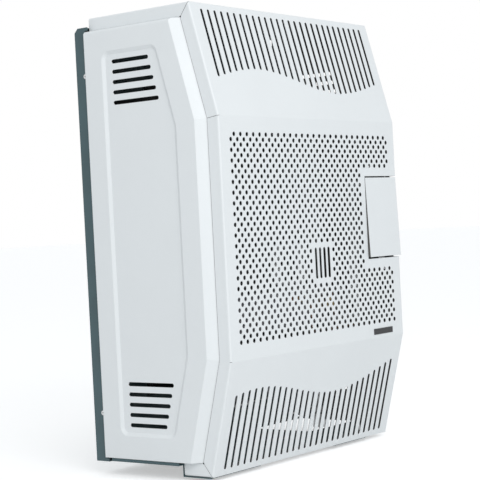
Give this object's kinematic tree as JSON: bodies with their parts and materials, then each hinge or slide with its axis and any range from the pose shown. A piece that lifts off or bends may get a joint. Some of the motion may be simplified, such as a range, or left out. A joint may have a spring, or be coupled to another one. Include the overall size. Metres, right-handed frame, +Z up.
{
  "type": "gas_heater",
  "caption": "White wall mounted balanced flue gas heater with a perforated three-facet front, a lift-up control flap and its burner and heat exchanger inside.",
  "frame": {"origin": "middle of the casing on the wall plane", "axes": "+X to the right seen from the room, +Y into the wall, +Z up"},
  "size_m": [0.453, 0.2715, 0.6355],
  "materials": {
    "white_paint": "smooth satin powder coat",
    "grey_paint": "satin grey stove enamel",
    "zinc_plate": "zinc plated sheet and fittings",
    "exchanger_steel": "aluminised steel, heat tinted",
    "black_coat": "matt black, heat resistant",
    "cast_aluminium": "as cast",
    "dial_aluminium": "satin anodised",
    "brass": "machined",
    "copper": "drawn copper tube",
    "black_plastic": "fine matte grain",
    "red_plastic": "moulded",
    "rubber": "silicone",
    "window_glass": "clear heat resistant",
    "ceramic_fibre": "ceramic and ceramic fibre, chalky"
  },
  "bodies": {
    "heater": {"rear_frame": "grey_paint", "frame_rivets": "zinc_plate", "panel_brackets": "grey_paint", "cover_hooks": "grey_paint", "bottom_pan": "grey_paint", "front_cover": "white_paint", "side_panel_left": "white_paint", "side_panel_right": "white_paint", "cover_screws": "zinc_plate", "badge_plate": "black_plastic", "flap_hinge_pin": "zinc_plate", "flap_hinge_arms": "zinc_plate", "flap_stop": "zinc_plate", "flap_buffer": "rubber", "control_fascia": "white_paint", "dial_plate": "dial_aluminium", "knob_spring": "zinc_plate", "gas_valve": "cast_aluminium", "valve_bracket": "grey_paint", "valve_screws": "zinc_plate", "igniter_body": "black_plastic", "igniter_nut": "zinc_plate", "igniter_spring": "zinc_plate", "ignition_lead": "rubber", "gas_inlet_pipe": "zinc_plate", "inlet_stub": "zinc_plate", "pipe_nuts": "zinc_plate", "inlet_bracket": "grey_paint", "burner_feed_pipe": "zinc_plate", "injector_elbow": "brass", "injector": "brass", "burner": "exchanger_steel", "burner_plate": "exchanger_steel", "burner_gasket": "ceramic_fibre", "burner_screws": "zinc_plate", "pilot_burner": "brass", "pilot_pipe": "zinc_plate", "thermocouple": "copper", "ignition_electrode": "ceramic_fibre", "chamber_front": "black_coat", "chamber_back": "black_coat", "baffle_plate": "exchanger_steel", "window_glass": "window_glass", "window_gasket": "ceramic_fibre", "window_frame": "zinc_plate", "window_screws": "zinc_plate", "chamber_brackets": "black_coat", "chamber_bolts": "zinc_plate", "heat_shield": "black_coat", "air_box": "black_coat", "intake_duct": "black_coat", "air_spigot": "zinc_plate", "flue_spigot": "exchanger_steel", "thermostat_bulb": "zinc_plate", "bulb_clips": "zinc_plate"},
    "flap": {"control_flap": "white_paint"},
    "sleeve": {"selector_sleeve": "brass"},
    "knob": {"control_knob": "black_plastic", "valve_spindle": "zinc_plate"},
    "button": {"igniter_button": "red_plastic"}
  },
  "joints": [
    {"name": "flap_hinge", "type": "hinge", "parent": "heater", "child": "flap", "pos_m": [0.1715, -0.239, 0.074], "axis": [-1, 0, 0], "range_deg": [0, 90]},
    {"name": "selector_turn", "type": "hinge", "parent": "heater", "child": "sleeve", "pos_m": [0.1715, -0.208, 0.038], "axis": [0, -1, 0], "range_deg": [0, 270]},
    {"name": "knob_push", "type": "slide", "parent": "sleeve", "child": "knob", "axis": [0, 1, 0], "range_m": [0, 0.004], "stiffness_N_per_m": 900, "deforming": ["knob_spring"]},
    {"name": "igniter_push", "type": "slide", "parent": "heater", "child": "button", "axis": [0, 1, 0], "range_m": [0, 0.005], "stiffness_N_per_m": 1200, "deforming": ["igniter_spring"]}
  ]
}
